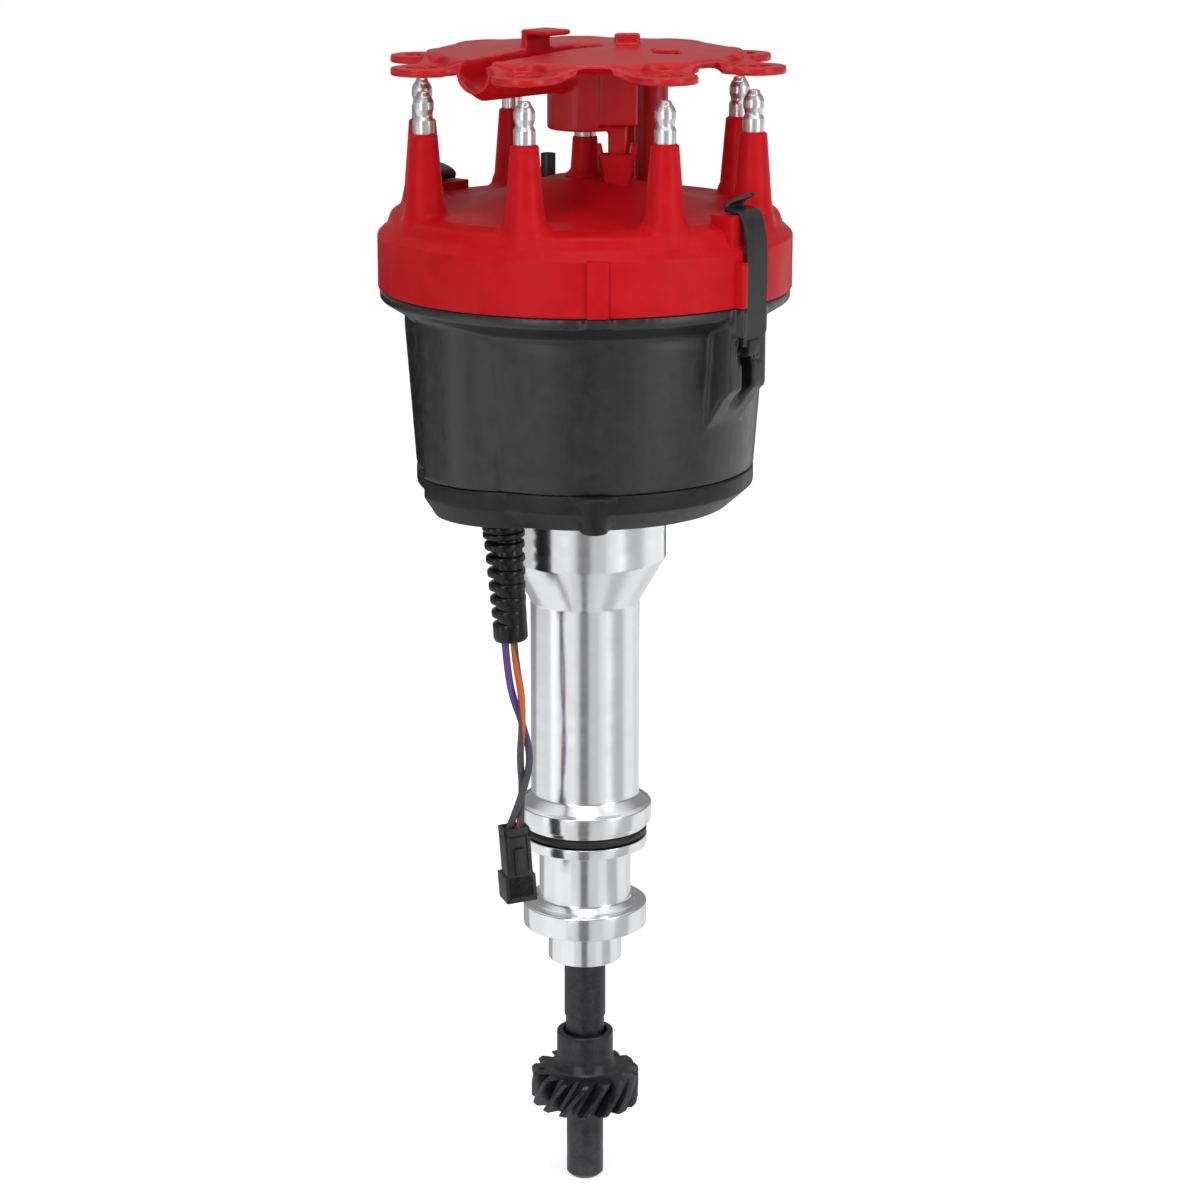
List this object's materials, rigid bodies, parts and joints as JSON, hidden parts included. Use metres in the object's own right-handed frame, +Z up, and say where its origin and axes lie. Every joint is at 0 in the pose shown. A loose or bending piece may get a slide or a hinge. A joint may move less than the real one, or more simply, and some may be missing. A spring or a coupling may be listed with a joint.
{
  "type": "ignition distributor",
  "caption": "Engine ignition distributor: red cap with towers and wire retainer, black base, turned aluminium housing, helical gear and pickup lead.",
  "frame": {"origin": "on the shaft axis, in the plane of the shoulder that sits on the engine block", "axes": "+Z up the shaft axis to the cap; -Y out through the front rib of the cap"},
  "size_m": [0.129, 0.1304, 0.3801],
  "materials": {
    "billet": "machined and polished",
    "dark_steel": "phosphated",
    "bright_steel": "ground",
    "bronze": "sintered",
    "o_ring_rubber": "moulded",
    "black_shell": "moulded satin",
    "red_cap": "moulded",
    "terminal": "turned bright",
    "carbon": "pressed",
    "brass": "stamped",
    "clip": "moulded",
    "relief_rubber": "glossy moulded",
    "violet_wire": "extruded",
    "orange_wire": "extruded",
    "connector": "moulded",
    "zinc": "zinc plated",
    "black_rotor": "moulded"
  },
  "bodies": {
    "root": {"housing": "billet", "o_ring": "o_ring_rubber", "lower_bushing": "bronze", "bearing_outer_race": "bright_steel", "bearing_retainer": "zinc", "retainer_screws": "zinc", "lower_cover": "black_shell", "cover_screws": "zinc", "base_shell": "black_shell", "cap": "red_cap", "spark_terminals": "terminal", "coil_terminal": "terminal", "centre_brush": "carbon", "brush_spring": "bright_steel", "cap_vent": "connector", "wire_retainer": "red_cap", "pickup_coil": "black_rotor", "pickup_bracket": "zinc", "pickup_screws": "zinc", "strain_relief": "relief_rubber", "violet_wire": "violet_wire", "orange_wire": "orange_wire", "pickup_connector": "connector", "connector_contacts": "brass"},
    "shaft": {"drive_shaft": "dark_steel", "drive_gear": "dark_steel", "gear_roll_pin": "dark_steel", "bearing_inner_race": "bright_steel", "bearing_balls": "bright_steel", "advance_cam": "dark_steel"},
    "advance": {"advance_plate": "zinc", "trigger_wheel": "bright_steel", "rotor": "black_rotor", "rotor_contact": "brass", "rotor_screws": "zinc", "advance_springs": "bright_steel"},
    "weight_right": {"advance_weight_right": "bright_steel"},
    "weight_left": {"advance_weight_left": "bright_steel"},
    "right_clip": {"right_clip": "clip"},
    "left_clip": {"left_clip": "clip"}
  },
  "joints": [
    {"name": "shaft_spin", "type": "hinge", "parent": "root", "child": "shaft", "pos_m": [0, 0, 0], "axis": [0, 0, 1], "continuous": true},
    {"name": "advance", "type": "hinge", "parent": "shaft", "child": "advance", "pos_m": [0, 0, 0.14], "axis": [0, 0, 1], "range_deg": [0, 12], "stiffness_Nm_per_rad": 0.05},
    {"name": "weight_right_swing", "type": "hinge", "parent": "advance", "child": "weight_right", "pos_m": [0.026, 0, 0.155], "axis": [0, 0, 1], "range_deg": [0, 25]},
    {"name": "weight_left_swing", "type": "hinge", "parent": "advance", "child": "weight_left", "pos_m": [-0.026, 0, 0.155], "axis": [0, 0, 1], "range_deg": [0, 25]},
    {"name": "right_clip_swing", "type": "hinge", "parent": "root", "child": "right_clip", "pos_m": [0.04526, -0.04075, 0.1608], "axis": [0.6691, 0.7431, 0], "range_deg": [0, 60]},
    {"name": "left_clip_swing", "type": "hinge", "parent": "root", "child": "left_clip", "pos_m": [-0.04526, 0.04075, 0.1608], "axis": [-0.6691, -0.7431, 0], "range_deg": [0, 60]}
  ],
  "couplings": [
    {"joint": "weight_right_swing", "follows": "advance", "ratio": 2.0832},
    {"joint": "weight_left_swing", "follows": "advance", "ratio": 2.0832}
  ]
}
